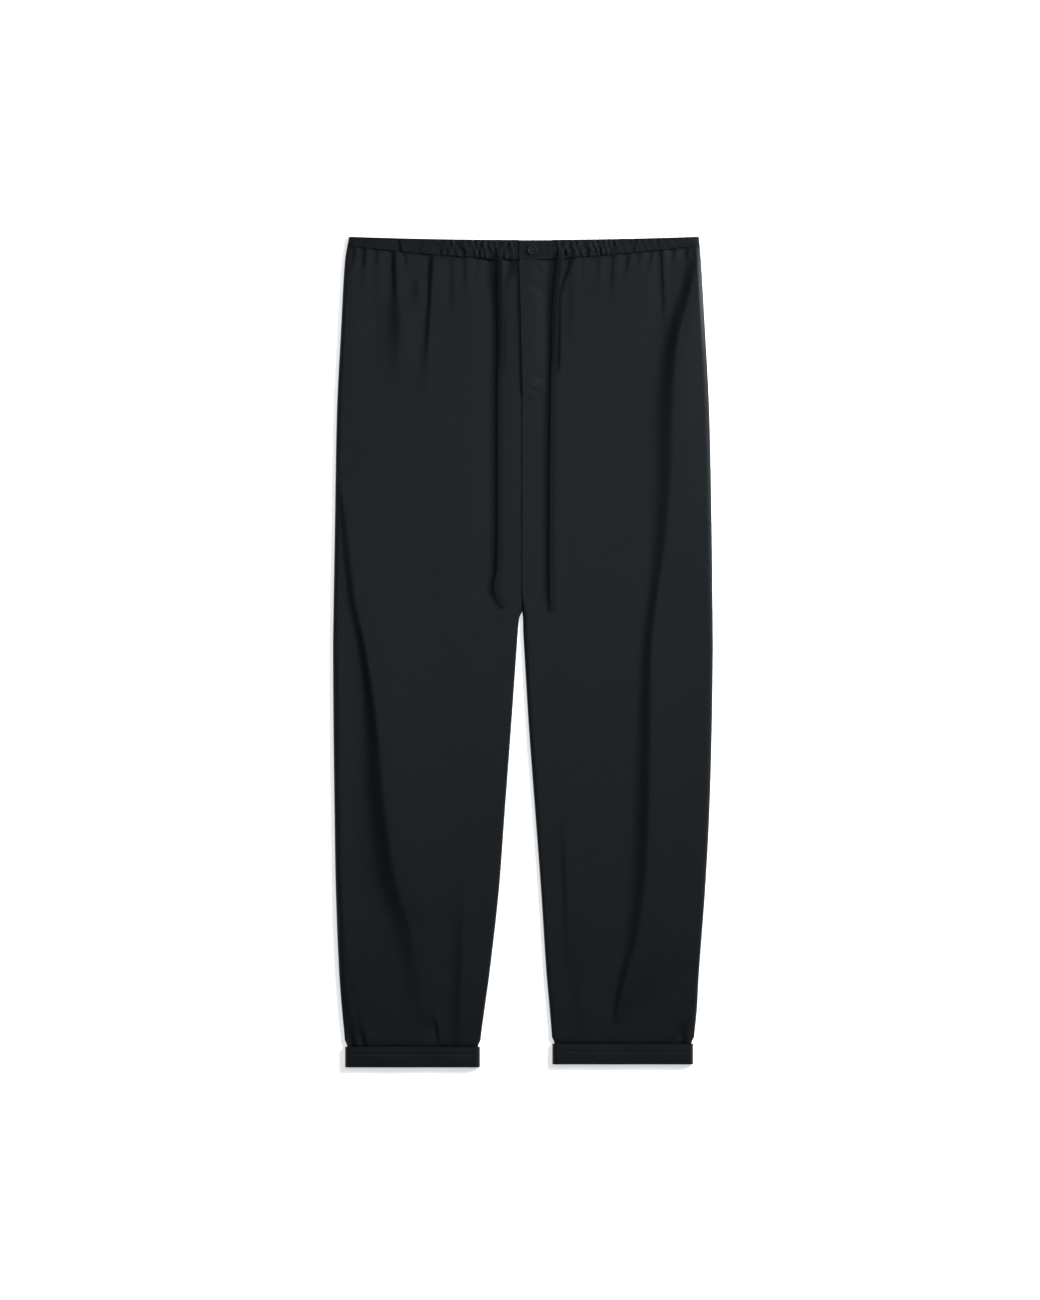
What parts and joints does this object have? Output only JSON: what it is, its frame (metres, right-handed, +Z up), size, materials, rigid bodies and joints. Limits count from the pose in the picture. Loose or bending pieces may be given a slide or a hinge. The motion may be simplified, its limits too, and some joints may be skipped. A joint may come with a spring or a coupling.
{
  "type": "straight drawstring trousers, laid flat",
  "caption": "Straight trousers with an elasticated drawstring waist, fly flap and turn-ups, lying flat on their back.",
  "frame": {"origin": "centre of the garment's outline on the surface that its back lies on", "axes": "+X towards the wearer's left, +Y towards the waist, +Z up from the surface through the front"},
  "size_m": [0.4559, 0.996, 0.0105],
  "materials": {
    "cloth": "dark charcoal satin twill, soft low sheen",
    "waistband": "the same satin twill, gathered over elastic",
    "turn_up": "the same satin twill, pressed turn-up",
    "drawstring": "flat self-fabric drawstring, matt",
    "button": "dark four-hole button, soft gloss"
  },
  "bodies": {
    "root": {"front_right": "cloth", "front_left": "cloth", "back_right": "cloth", "back_left": "cloth", "turn_up_front_right": "turn_up", "turn_up_front_left": "turn_up", "turn_up_back_right": "turn_up", "turn_up_back_left": "turn_up", "waistband_front_right": "waistband", "waistband_front_left": "waistband", "waistband_back": "waistband", "waistband_tab": "waistband", "fly_flap": "cloth", "waist_button": "button", "drawstring_right": "drawstring", "drawstring_left": "drawstring"}
  },
  "joints": []
}
